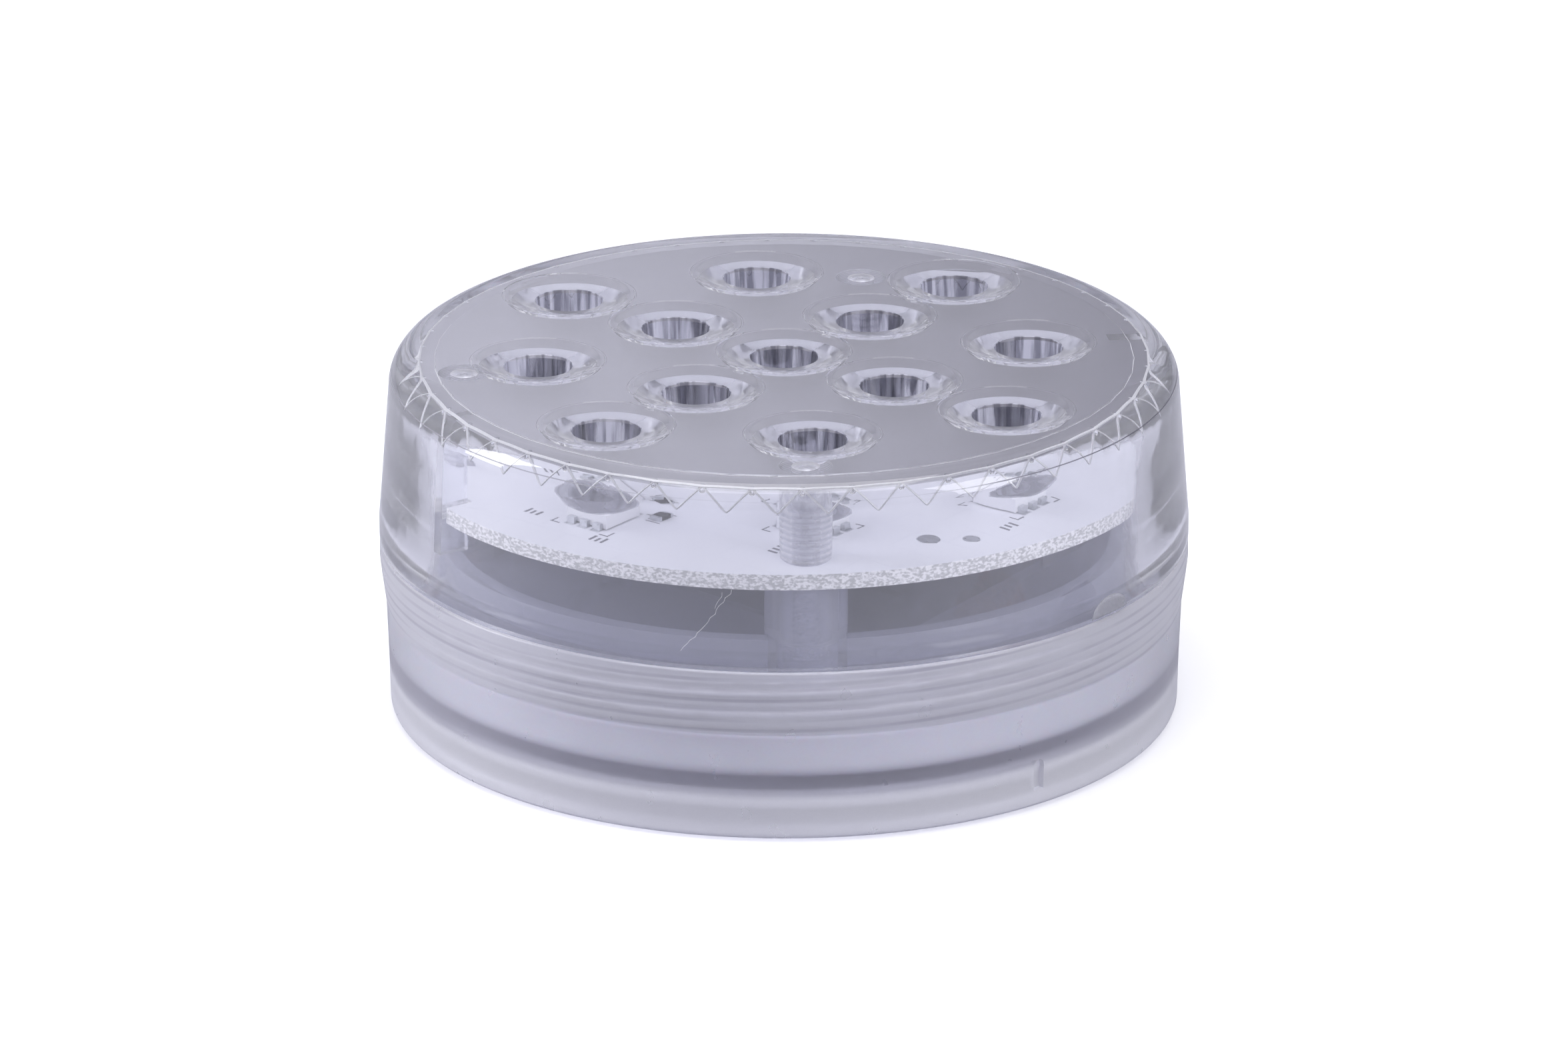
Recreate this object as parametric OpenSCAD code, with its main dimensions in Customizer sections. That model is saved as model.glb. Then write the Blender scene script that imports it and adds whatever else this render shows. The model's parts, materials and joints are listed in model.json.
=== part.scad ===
// Underwater pond light: a clear lens head with thirteen LEDs, screwed onto a
// frosted base cover that closes the battery compartment. Millimetres, +Z up,
// origin at the centre of the face that the light stands on.

/* [Overall] */
// Largest outside diameter, at the foot of the clear skirt
light_d = 82.2; // [82:0.2:83]
// Overall height
light_h = 37; // [36.5:0.1:38]
// Height of the frosted base cover
cover_h = 17.9; // [17.4:0.1:18]

/* [Lens] */
// Thickness of the flat top of the lens
top_t = 1.8; // [1.4:0.1:2.2]
// Radius of the rounded shoulder
shoulder_r = 3; // [2.5:0.5:3.5]
// Radius of the flat clear window inside the prism ring
window_r = 35.3; // [34.8:0.1:35.5]
// Bore of the lens barrel, which the circuit board passes through
barrel_r = 36.95; // [36.9:0.05:37.05]
// Teeth in the prism ring under the shoulder
prism_teeth = 48; // [36:1:60]
// Depth of a prism tooth down the inner wall
prism_h = 1.85; // [1.2:0.05:2.4]

/* [Optics] */
// Spacing of the LEDs along the two arms of the cross
led_pitch = 14.1; // [14:0.1:14.3]
// Offset of the four corner LEDs from the centre, in pitches
corner_step = 1.25; // [1.22:0.01:1.28]
// Rim radius of each moulded collimator
optic_r = 6.4; // [6:0.1:6.5]
// Radius of the well in the top of each collimator
well_r = 3.4; // [3:0.1:3.6]

/* [Thread] */
// Rise of the lens for one full turn of its two-start thread
thread_lead = 4.4; // [4.2:0.1:4.4]
// Turns of each male start on the lens barrel
male_turns = 1.25; // [1:0.05:1.25]
// Turns of each female start in the base cover
female_turns = 1; // [0.6:0.1:1]

/* [Board] */
// Height of the circuit board's upper face
board_top = 27; // [27:0.1:27.2]
// Thickness of the circuit board
board_t = 1.6; // [1:0.2:1.6]
// Radius of the circuit board
board_r = 36.75; // [36:0.05:36.8]

/* [Batteries] */
// Diameter of one AAA cell
cell_d = 10.5; // [10.3:0.1:10.5]
// Length of one AAA cell over its positive button
cell_l = 44.5; // [44.1:0.1:44.5]
// Spacing of the three cells
cell_pitch = 12; // [11.9:0.1:12.2]

/* [Hidden] */
$fn = 96;

eps = 0.02;
face_gap = 0.03;

// Lens outside
skirt_r = light_d / 2;
skirt_z = cover_h + 0.1;
skirt_band_h = 2;
shoulder_x = skirt_r - 1.15;
plate_z = light_h - top_t;

// Threaded barrel and seal groove
male_root_r = 38.5;
male_crest_r = 39.1;
female_crest_r = 38.7;
female_root_r = 39.3;
thread_starts = 2;
thread_pitch = thread_lead / thread_starts;
thread_sides = 48;
thread_root_w = 1;
thread_crest_w = 0.5;
thread_bury = 0.2;
female_z = 12.2;
male_az = 20;
// Half a pitch out of step, so the ridges run between each other
male_z = female_z - thread_pitch / 2 + thread_lead * male_az / 360;
groove_r = 37.75;
groove_z = [6.4, 10.75];
barrel_end_z = 4.65;
lip_r = 38.2;

// Sealing ring in its groove
seal_r = [groove_r + 0.03, 38.5];
seal_z = [groove_z[0] + 0.05, groove_z[1] - 0.05];

// Base cover
cover_rim_r = skirt_r - 0.05;
cover_waist_r = skirt_r - 0.6;
cover_waist_z = 11.2;
cover_foot_r = skirt_r - 0.9;
cover_fillet = 0.8;
seal_bore_r = 38.55;
seal_bore_z = 10.9;
shoulder_z = 4.55;
well_floor_r = 36.9;
floor_z = 2.2;
foot_recess_r = 35;
foot_recess = 0.5;
mark_az = -12.7;
mark_w = 1.3;
mark_z = [1.9, 5.1];

// Prism ring: tips on the wall, brows between them, and the window's corners
prism_z = plate_z - prism_h;
prism_gap = 0.05;
ring_z = plate_z - 0.15;
brow_r = 36.6;
brow_z = ring_z + 0.05;
corner_r = window_r + 0.1;
corner_z = plate_z - 0.35;

// Collimators: bowl foot, well and the recess over the LED
bowl_foot_r = 3.3;
bowl_foot_z = board_top + 1.75;
bowl_steps = 6;
well_floor_z = bowl_foot_z + 1.9;
well_foot_r = well_r - 0.3;
well_lens_h = 1;
recess_r = 2.5;
recess_h = 0.9;
dish_depth = 0.6;

// Screw posts, as angle-free positions in the plane of the board
posts = [
    [-0.64 * led_pitch, 1.715 * led_pitch],
    [-1.55 * led_pitch, -1.71 * led_pitch],
    [1.55 * led_pitch, -1.71 * led_pitch]
];
post_r = 2.5;
post_bore_r = 1.4;
post_bore_top = light_h - 1.6;

// Guide ribs inside the barrel: azimuth, width, inner radius, lowest point
guides = [
    [48, 1.9, 33.3, 20],
    [-113, 1.3, 35.1, 22]
];
guide_gap = 0.15;

// LED places: x, y and the turn that points the leads along the arm
leds = [
    for (i = [-2:2]) [i * led_pitch, 0, 0],
    for (i = [-2, -1, 1, 2]) [0, i * led_pitch, 90],
    for (sx = [-1, 1], sy = [-1, 1])
        [sx * corner_step * led_pitch, sy * corner_step * led_pitch, 0]
];
led_w = 5;
led_h = 1.6;
led_z = board_top + face_gap;
cavity_r = 2;
cavity_d = 0.7;
die_h = 0.15;

// Board and what hangs under it
board_under = board_top - board_t;
part_z = board_under - face_gap;
hole_r = 1.6;

// Battery tray
tray_z = [15.2, 16.9];
tray_r = 35.5;
tray_rim_z = 19.7;
tray_rim_t = 1.3;
tray_wall = 1.4;
tray_side_wall = 1;
tray_foot_z = 5.5;
boss_r = 4;
head_seat_z = 19;
head_r = 2.5;
head_h = 1.8;
head_clear_r = 2.8;
channel_rib = 1.1;

// Cells and contacts
cell_r = cell_d / 2;
cell_z = tray_z[0] - 0.1 - cell_r;
bay_x = 25.2;
contact_t = 0.4;
contact_w = 8.4;
dimple_r = 1.6;
dimple_h = 0.45;
button_h = 1;
button_r = 1.9;
sleeve_t = 0.15;
can_r = cell_r - sleeve_t - eps;
cell_tip_x = bay_x - contact_t - dimple_h - 0.05;
cell_body_l = cell_l - button_h;
// Each cell: y place, and the side of its positive end
cells = [[-cell_pitch, 1], [0, -1], [cell_pitch, 1]];
slot_w = 3;
tab_w = 2.6;
tab_top_z = 18.4;

// Points on an arc in a radius-height outline
function arc(cx, cz, r, a0, a1, n) = [
    for (i = [0:n]) [
        cx + r * cos(a0 + (a1 - a0) * i / n),
        cz + r * sin(a0 + (a1 - a0) * i / n)
    ]
];

function unit(v) = v / norm(v);

// The same faces with their corners in the opposite order
function reversed(faces) = [for (f = faces) [for (k = [len(f) - 1:-1:0]) f[k]]];

// Closed tube of radius r along a row of points
module sweep(path, r, up = [0, 0, 1], sides = 8) {
    n = len(path);
    function tangent(i) = unit(path[min(i + 1, n - 1)] - path[max(i - 1, 0)]);
    function across(i) = unit(cross(tangent(i), up));
    function above(i) = cross(across(i), tangent(i));
    points = [
        for (i = [0:n - 1], k = [0:sides - 1])
            let (a = 360 * k / sides)
            path[i] + r * cos(a) * across(i) + r * sin(a) * above(i)
    ];
    skin = [
        for (i = [0:n - 2], k = [0:sides - 1])
            let (a = i * sides + k, b = i * sides + (k + 1) % sides)
            each [[a, b + sides, a + sides], [a, b, b + sides]]
    ];
    first_cap = [for (k = [sides - 1:-1:0]) k];
    last_cap = [for (k = [0:sides - 1]) (n - 1) * sides + k];
    polyhedron(points, concat(skin, [first_cap, last_cap]), convexity = 6);
}

// One helical ridge for each start of the thread, from azimuth az upwards
module thread(root_r, crest_r, az, z, turns) {
    for (s = [0:thread_starts - 1]) rotate([0, 0, az + 360 * s / thread_starts])
        thread_ridge(root_r, crest_r, z, turns);
}

// Helical ridge from a buried root out to a crest, fading in and out
module thread_ridge(root_r, crest_r, z, turns) {
    steps = round(turns * thread_sides);
    fade_steps = 5;
    function fade(i) = min(1, (min(i, steps - i) + 0.6) / fade_steps);
    function ring(i) =
        let (
            a = 360 * i / thread_sides,
            h = z + thread_lead * i / thread_sides,
            tip = root_r + (crest_r - root_r) * fade(i),
            rw = thread_root_w / 2,
            cw = thread_crest_w / 2
        )
        [
            [root_r * cos(a), root_r * sin(a), h - rw],
            [tip * cos(a), tip * sin(a), h - cw],
            [tip * cos(a), tip * sin(a), h + cw],
            [root_r * cos(a), root_r * sin(a), h + rw]
        ];
    points = [for (i = [0:steps]) each ring(i)];
    skin = [
        for (i = [0:steps - 1], k = [0:3])
            let (a = 4 * i + k, b = 4 * i + (k + 1) % 4)
            each [[a, a + 4, b + 4], [a, b + 4, b]]
    ];
    caps = [[0, 1, 2, 3], [4 * steps + 3, 4 * steps + 2, 4 * steps + 1, 4 * steps]];
    faces = concat(skin, caps);
    outward = crest_r > root_r;
    polyhedron(points, outward ? reversed(faces) : faces, convexity = 8);
}

// ---- Base cover and seal ----

module base_cover() {
    color([0.80, 0.80, 0.86, 0.8])
    difference() {
        union() {
            difference() {
                rotate_extrude() cover_outline();
                translate([0, 0, -eps]) cylinder(r = foot_recess_r, h = foot_recess + eps);
            }
            thread(female_root_r + thread_bury, female_crest_r, 0, female_z, female_turns);
        }
        alignment_mark();
    }
}

module cover_outline() {
    polygon(concat(
        [[0, 0]],
        arc(cover_foot_r - cover_fillet, cover_fillet, cover_fillet, -90, 0, 5),
        [
            [cover_waist_r - 0.2, 5.5],
            [cover_waist_r, cover_waist_z],
            [skirt_r - 0.15, cover_h - 3.2],
            [skirt_r, cover_h - 1.8],
            [cover_rim_r, cover_h - 0.3],
            [cover_rim_r - 0.3, cover_h],
            [female_root_r + 0.3, cover_h],
            [female_root_r, cover_h - 0.3],
            [female_root_r, seal_bore_z + 0.3],
            [seal_bore_r, seal_bore_z],
            [seal_bore_r, shoulder_z],
            [well_floor_r, shoulder_z],
            [well_floor_r, floor_z + 2],
            [well_floor_r - 2, floor_z],
            [0, floor_z]
        ]
    ));
}

// Short upright groove that shows where the cover is closed
module alignment_mark() {
    rotate([0, 0, mark_az])
        translate([cover_foot_r - 0.6, -mark_w / 2, mark_z[0]])
            cube([2, mark_w, mark_z[1] - mark_z[0]]);
}

module sealing_ring() {
    color([0.93, 0.93, 0.95])
    rotate_extrude() polygon([
        [seal_r[0], seal_z[0]],
        [seal_r[1] - 0.2, seal_z[0]],
        [seal_r[1], seal_z[0] + 0.2],
        [seal_r[1], seal_z[1] - 0.2],
        [seal_r[1] - 0.2, seal_z[1]],
        [seal_r[0], seal_z[1]]
    ]);
}

// ---- Lens ----

module lens_cover() {
    color([0.86, 0.87, 0.93, 0.5])
    difference() {
        union() {
            rotate_extrude() lens_outline();
            thread(male_root_r - thread_bury, male_crest_r, male_az, male_z, male_turns);
            prism_ring();
            for (p = leds) translate([p[0], p[1], 0]) optic_bowl();
            for (p = posts) translate([p[0], p[1], board_top + face_gap])
                cylinder(r = post_r, h = plate_z + eps - board_top - face_gap);
            for (g = guides) guide_rib(g[0], g[1], g[2], g[3]);
        }
        for (p = leds) translate([p[0], p[1], 0]) optic_cuts();
        for (p = posts) translate([p[0], p[1], board_top - eps])
            cylinder(r = post_bore_r, h = post_bore_top - board_top, $fn = 32);
    }
}

module lens_outline() {
    polygon(concat(
        [[0, plate_z], [0, light_h]],
        arc(shoulder_x - shoulder_r, light_h - shoulder_r, shoulder_r, 90, 0, 8),
        [
            [skirt_r, skirt_z + skirt_band_h],
            [skirt_r, skirt_z + 0.2],
            [skirt_r - 0.2, skirt_z],
            [male_root_r, skirt_z],
            [male_root_r, groove_z[1]],
            [groove_r, groove_z[1]],
            [groove_r, groove_z[0]],
            [lip_r, groove_z[0]],
            [lip_r - 0.3, barrel_end_z],
            [barrel_r, barrel_end_z],
            [barrel_r, ring_z],
            [window_r, ring_z],
            [window_r, plate_z]
        ]
    ));
}

// Ring of facets between the window's edge and the inner wall. Each tooth runs
// from a corner of the window out to two brows and down to a tip on the wall.
module prism_ring() {
    step = 360 / prism_teeth;
    for (i = [0:prism_teeth - 1]) rotate([0, 0, i * step]) prism_tooth(step / 2 - prism_gap);
}

module prism_tooth(half) {
    back_r = barrel_r + 0.1;
    top = plate_z + 0.1;
    function at(r, side, z) = [r * cos(half * side), r * sin(half * side), z];
    polyhedron(
        [
            at(brow_r, -1, brow_z), at(brow_r, 1, brow_z),
            at(back_r, 0, prism_z), at(corner_r, 0, corner_z),
            at(back_r, -1, top), at(back_r, 1, top),
            at(brow_r, -1, top), at(brow_r, 1, top), at(corner_r, 0, top)
        ],
        [
            [2, 1, 0], [3, 0, 1], [2, 0, 4], [2, 5, 1], [2, 4, 5],
            [6, 4, 0], [7, 1, 5], [6, 0, 3, 8], [1, 7, 8, 3], [7, 5, 4, 6, 8]
        ]
    );
}

// Collimator bowl under the plate, widening like a paraboloid
module optic_bowl() {
    rise = plate_z + 0.1 - bowl_foot_z;
    rotate_extrude() polygon(concat(
        [[0, bowl_foot_z]],
        [
            for (i = [0:bowl_steps])
                let (t = i / bowl_steps)
                [bowl_foot_r + (optic_r - bowl_foot_r) * pow(t, 0.6), bowl_foot_z + rise * t]
        ],
        [[0, plate_z + 0.1]]
    ));
}

// Dished rim, well with a convex floor, and the domed recess over the LED
module optic_cuts() {
    rotate_extrude() polygon(concat(
        [[0, light_h + 0.1], [0, well_floor_z + well_lens_h]],
        [
            for (i = [1:4])
                let (t = i / 4)
                [well_foot_r * t, well_floor_z + well_lens_h * (1 - t * t)]
        ],
        [
            [well_r, light_h - dish_depth],
            [(well_r + optic_r) / 2, light_h - dish_depth * 0.62],
            [optic_r, light_h],
            [optic_r, light_h + 0.1]
        ]
    ));
    translate([0, 0, bowl_foot_z - eps]) rotate_extrude() polygon([
        [0, 0],
        [recess_r, 0],
        [recess_r * 0.9, recess_h * 0.4],
        [recess_r * 0.55, recess_h * 0.85],
        [0, recess_h]
    ]);
}

// Upright rib that keys into a notch in the board's edge
module guide_rib(az, w, inner_r, low_z) {
    rotate([0, 0, az])
        translate([inner_r, -w / 2, low_z])
            cube([barrel_r + 0.4 - inner_r, w, plate_z + 0.1 - low_z]);
}

// ---- Circuit board and LEDs ----

module circuit_board() {
    color([0.93, 0.94, 0.97])
    difference() {
        translate([0, 0, board_under]) cylinder(r = board_r, h = board_t);
        for (p = posts) translate([p[0], p[1], board_under - 1])
            cylinder(r = hole_r, h = board_t + 2, $fn = 32);
        for (g = guides) rotate([0, 0, g[0]])
            translate([g[2] - guide_gap * 2, -g[1] / 2 - guide_gap, board_under - 1])
                cube([10, g[1] + 2 * guide_gap, board_t + 2]);
    }
}

module led_packages() {
    color([0.96, 0.96, 0.97])
    for (p = leds) translate([p[0], p[1], led_z]) rotate([0, 0, p[2]]) difference() {
        translate([-led_w / 2, -led_w / 2, 0.1]) cube([led_w, led_w, led_h - 0.1]);
        translate([0, 0, led_h - cavity_d])
            cylinder(r1 = cavity_r - 0.25, r2 = cavity_r, h = cavity_d + eps, $fn = 40);
        // Corner cut that marks the first lead
        translate([led_w / 2, led_w / 2, led_h]) rotate([0, 0, 45]) cube([1.1, 1.1, 0.5], center = true);
    }
}

module led_dies() {
    color([0.85, 0.80, 0.45])
    for (p = leds) translate([p[0], p[1], led_z + led_h - cavity_d + 0.01])
        for (q = [[-0.62, 0], [0.62, 0], [0, -0.62], [0, 0.62]])
            translate([q[0] - 0.22, q[1] - 0.22, 0]) cube([0.44, 0.44, die_h]);
}

module led_windows() {
    color([0.95, 0.95, 0.90, 0.4])
    for (p = leds) translate([p[0], p[1], led_z + led_h - cavity_d + die_h + 0.03])
        cylinder(r1 = cavity_r - 0.2, r2 = cavity_r - 0.03, h = cavity_d - die_h - 0.06, $fn = 40);
}

module led_terminals() {
    color([0.80, 0.81, 0.83])
    for (p = leds) translate([p[0], p[1], led_z]) rotate([0, 0, p[2]])
        for (side = [-1, 1], row = [-1:1])
            translate([side * (led_w / 2 + 0.25), row * 1.6, 0.35])
                cube([0.46, 0.9, 0.7], center = true);
}

// ---- Small parts beside the LEDs ----

// Chip places as offsets from an LED: x, y
resistor_at = [
    [led_pitch - 4.4, 3.6], [2 * led_pitch - 4.4, 3.6], [-led_pitch - 4.4, 3.6],
    [-2 * led_pitch + 4.6, 3.8], [-4.4, led_pitch + 3.2], [-4.4, 2 * led_pitch - 3.2],
    [4.4, -2 * led_pitch + 3.4], [-4.6, -3.2], [4.2, 4.2]
];
capacitor_at = [-4.6, -led_pitch + 1];
chip_l = 2;
chip_w = 1.25;
chip_h = 0.5;
chip_cap = 0.35;

module chip_body(p, h) {
    translate([p[0], p[1], board_top + face_gap + h / 2])
        cube([chip_w, chip_l - 2 * chip_cap - eps, h], center = true);
}

module chip_resistors() {
    color([0.13, 0.13, 0.15])
    for (p = resistor_at) chip_body(p, chip_h);
}

module chip_capacitor() {
    color([0.78, 0.52, 0.30])
    chip_body(capacitor_at, chip_h + 0.3);
}

module chip_ends(p, h) {
    for (end = [-1, 1])
        translate([p[0], p[1] + end * (chip_l - chip_cap) / 2, board_top + face_gap + h / 2])
            cube([chip_w, chip_cap, h], center = true);
}

module chip_terminals() {
    color([0.80, 0.81, 0.83]) {
        for (p = resistor_at) chip_ends(p, chip_h);
        chip_ends(capacitor_at, chip_h + 0.3);
    }
}

// ---- Electronics under the board ----

controller_at = [-6, 10];
receiver_at = [8, 6];
crystal_at = [10, -5];
antenna_at = [22, 6];
transistor_at = [[-16, -4], [-16, -9], [-16, -14]];
so_l = 4.9;
so_w = 3.9;
so_h = 1.5;

// Moulded body of an eight-lead chip, hung under the board
module so_body(p) {
    translate([p[0], p[1], part_z - 0.1 - so_h / 2]) difference() {
        cube([so_l, so_w, so_h], center = true);
        translate([-so_l / 2 + 0.8, so_w / 2 - 0.8, -so_h / 2 - eps])
            cylinder(r = 0.3, h = 0.15, $fn = 24);
    }
}

// Gull-wing leads on both long sides, each bent from a shelf to a foot
module so_leads(p) {
    for (side = [-1, 1], i = [-1.5:1:1.5])
        translate([p[0] + 1.27 * i - 0.2, p[1], part_z]) scale_side(side)
            rotate([90, 0, 90]) linear_extrude(0.4) polygon([
                [so_w / 2 + eps, -0.95], [so_w / 2 + 0.5, -0.95], [so_w / 2 + 0.7, -0.18],
                [so_w / 2 + 1.2, -0.18], [so_w / 2 + 1.2, 0], [so_w / 2 + 0.5, 0],
                [so_w / 2 + 0.3, -0.75], [so_w / 2 + eps, -0.75]
            ]);
}

module scale_side(side) {
    if (side > 0) children();
    else mirror([0, 1, 0]) children();
}

module controller_chip() { color([0.12, 0.12, 0.13]) so_body(controller_at); }
module controller_pins() { color([0.80, 0.81, 0.83]) so_leads(controller_at); }
module receiver_chip() { color([0.14, 0.14, 0.15]) so_body(receiver_at); }
module receiver_pins() { color([0.80, 0.81, 0.83]) so_leads(receiver_at); }

module driver_transistors() {
    color([0.12, 0.12, 0.13])
    for (p = transistor_at) translate([p[0], p[1], part_z - 0.6])
        cube([1.3, 2.9, 1], center = true);
}

module transistor_pins() {
    color([0.80, 0.81, 0.83])
    for (p = transistor_at, q = [[-1, -0.95], [-1, 0.95], [1, 0]])
        translate([p[0] + q[0] * 0.98, p[1] + q[1], part_z - 0.25])
            cube([0.6, 0.4, 0.5], center = true);
}

// Low metal can with rounded ends, lying on the board
module crystal_can() {
    color([0.78, 0.79, 0.81])
    translate([crystal_at[0], crystal_at[1], part_z - 3.2]) {
        for (end = [-1, 1]) translate([end * 3.1, 0, 0]) cylinder(r = 2.2, h = 3.2, $fn = 40);
        translate([-3.1, -2.2, 0]) cube([6.2, 4.4, 3.2]);
    }
}

module antenna_coil() {
    turns = 5.5;
    turn_steps = 14;
    coil_r = 2.3;
    half_l = 3.15;
    leg_h = 3.3;
    coil = [
        for (i = [0:turns * turn_steps])
            let (a = 360 * i / turn_steps)
            [coil_r * cos(a), 2 * half_l * i / (turns * turn_steps) - half_l, -coil_r * sin(a)]
    ];
    color([0.80, 0.48, 0.25])
    translate([antenna_at[0], antenna_at[1], part_z - leg_h - 0.1])
        sweep(
            concat([[coil_r, -half_l, leg_h]], coil, [[-coil_r, half_l, leg_h]]),
            0.3, up = [0, 1, 0], sides = 6
        );
}

// ---- Battery tray ----

module battery_tray() {
    bay_y = 1.5 * cell_pitch - 0.4;
    color([0.78, 0.79, 0.86, 0.7])
    difference() {
        union() {
            translate([0, 0, tray_z[0]]) cylinder(r = tray_r, h = tray_z[1] - tray_z[0]);
            tray_rim();
            tray_bay(bay_y);
            for (p = posts) translate([p[0], p[1], tray_z[0]])
                cylinder(r = boss_r, h = board_under - face_gap - tray_z[0]);
        }
        for (p = posts) translate([p[0], p[1], tray_z[0] - 1]) {
            cylinder(r = hole_r, h = 20, $fn = 32);
            cylinder(r = head_clear_r, h = head_seat_z - tray_z[0] + 1, $fn = 48);
        }
        for (side = [-1, 1])
            translate([side * (bay_x - contact_t / 2), side * cell_pitch, tray_z[0] - 1])
                cube([contact_t + 0.4, slot_w, 10], center = true);
    }
}

module tray_rim() {
    translate([0, 0, tray_z[0]]) difference() {
        cylinder(r = tray_r, h = tray_rim_z - tray_z[0]);
        translate([0, 0, -1]) cylinder(r = tray_r - tray_rim_t, h = 10);
    }
}

// Open-bottomed box with a rib between neighbouring cells
module tray_bay(bay_y) {
    deep = tray_z[0] + eps - tray_foot_z;
    translate([0, 0, tray_foot_z]) {
        for (side = [-1, 1]) {
            translate([side > 0 ? bay_x : -bay_x - tray_wall, -bay_y - tray_side_wall, 0])
                cube([tray_wall, 2 * (bay_y + tray_side_wall), deep]);
            translate([-bay_x - eps, side > 0 ? bay_y : -bay_y - tray_side_wall, 0])
                cube([2 * bay_x + 2 * eps, tray_side_wall, deep]);
            translate([-bay_x + 5.5, side * cell_pitch / 2 - channel_rib / 2, 3])
                cube([2 * bay_x - 11, channel_rib, deep - 3]);
        }
    }
}

// Pan-head self-tapping screw, drawn with its thread as a row of ridges
module tray_screw() {
    core = 1;
    crest = 1.35;
    pitch = 1;
    ridges = 14;
    difference() {
        rotate_extrude() polygon(concat(
            [[0, -head_h], [head_r * 0.6, -head_h], [head_r * 0.92, -head_h * 0.72], [head_r, -head_h * 0.3]],
            [[head_r, 0], [core, 0], [core, 1]],
            [
                for (i = [0:ridges - 1]) each [
                    [core, 1 + pitch * i + 0.3],
                    [crest, 1 + pitch * i + 0.6],
                    [core, 1 + pitch * i + 0.9]
                ]
            ],
            [[0, 16]]
        ), $fn = 40);
        for (a = [0, 90]) rotate([0, 0, a]) translate([0, 0, -head_h])
            cube([2.8, 0.7, 1.8], center = true);
    }
}

module tray_screws() {
    color([0.62, 0.62, 0.66])
    for (p = posts) translate([p[0], p[1], head_seat_z - face_gap]) tray_screw();
}

// ---- Contacts ----

// Flat plate against an end wall, spanning from y0 to y1
module contact_plate(side, y0, y1) {
    x = side > 0 ? bay_x - contact_t - eps : -bay_x + eps;
    translate([x, y0, cell_z - contact_w / 2]) cube([contact_t, y1 - y0, contact_w]);
}

// Raised dome that touches a cell's positive button
module contact_dimple(side, y) {
    translate([side * (bay_x - contact_t - eps), y, cell_z]) rotate([0, -90 * side, 0])
        cylinder(r1 = dimple_r, r2 = dimple_r * 0.5, h = dimple_h - 0.05, $fn = 32);
}

// Solder tab that rises from a plate through the tray
module contact_tab(side, y) {
    x = side > 0 ? bay_x - contact_t - eps : -bay_x + eps;
    translate([x, y - tab_w / 2, cell_z]) cube([contact_t, tab_w, tab_top_z - cell_z]);
}

module positive_contact() {
    color([0.83, 0.82, 0.78]) {
        contact_plate(1, cell_pitch - contact_w / 2, cell_pitch + contact_w / 2);
        contact_dimple(1, cell_pitch);
        contact_tab(1, cell_pitch);
    }
}

module negative_contact() {
    color([0.83, 0.82, 0.78]) {
        contact_plate(-1, -cell_pitch - contact_w / 2, -cell_pitch + contact_w / 2);
        contact_tab(-1, -cell_pitch);
    }
}

module series_links() {
    color([0.83, 0.82, 0.78]) {
        contact_plate(1, -cell_pitch - contact_w / 2, contact_w / 2);
        contact_dimple(1, -cell_pitch);
        contact_plate(-1, -contact_w / 2, cell_pitch + contact_w / 2);
        contact_dimple(-1, 0);
    }
}

// Conical coil pressing on a cell's flat end
module contact_spring() {
    wire_r = 0.28;
    turns = 4;
    steps = turns * 16;
    room = cell_tip_x - cell_l + bay_x - contact_t;
    length = room - 2 * wire_r - 0.1;
    sweep([
        for (i = [0:steps])
            let (t = i / steps, a = 360 * turns * t, r = 3.8 - 1.5 * t)
            [wire_r + 0.05 + length * t, r * cos(a), r * sin(a)]
    ], wire_r, up = [1, 0, 0], sides = 6);
}

module contact_springs() {
    color([0.80, 0.80, 0.76])
    for (c = cells) translate([-c[1] * (bay_x - contact_t - eps), c[0], cell_z])
        if (c[1] > 0) contact_spring();
        else mirror([1, 0, 0]) contact_spring();
}

// ---- Wires ----

wire_r = 0.55;

// Smooth curve from a board pad to a contact tab
function wire_path(a, b, c, d, n = 14) = [
    for (i = [0:n])
        let (t = i / n, u = 1 - t)
        u * u * u * a + 3 * u * u * t * b + 3 * u * t * t * c + t * t * t * d
];

positive_pad = [14, 16, part_z - 0.05];
negative_pad = [-16, 6, part_z - 0.05];
positive_tab = [bay_x - contact_t - eps - wire_r - 0.05, cell_pitch, tab_top_z - 0.6];
negative_tab = [-bay_x + contact_t + eps + wire_r + 0.05, -cell_pitch, tab_top_z - 0.6];

module power_wire(pad, tab) {
    sweep(wire_path(pad, pad - [0, 0, 6], tab + [0, sign(pad[1] - tab[1]) * 6, 3], tab),
        wire_r, up = [0.3, 1, 0.1]);
}

module positive_wire() { color([0.75, 0.12, 0.12]) power_wire(positive_pad, positive_tab); }
module negative_wire() { color([0.10, 0.10, 0.12]) power_wire(negative_pad, negative_tab); }

// Solder left at the two board pads, beside each wire's end
module wire_solder() {
    color([0.75, 0.76, 0.78])
    for (p = [positive_pad, negative_pad]) translate([p[0], p[1], part_z - 0.6])
        difference() {
            cylinder(r1 = 1, r2 = 1.6, h = 0.6, $fn = 32);
            translate([0, 0, -0.2]) cylinder(r = 0.75, h = 1, $fn = 32);
        }
}

// ---- Cells ----

// Places a cell drawn along +X with its positive tip at x = 0
module each_cell() {
    for (c = cells) translate([0, c[0], cell_z]) scale_end(c[1])
        translate([cell_tip_x, 0, 0]) rotate([0, 90, 0]) children();
}

module scale_end(end) {
    if (end > 0) children();
    else mirror([1, 0, 0]) children();
}

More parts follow.
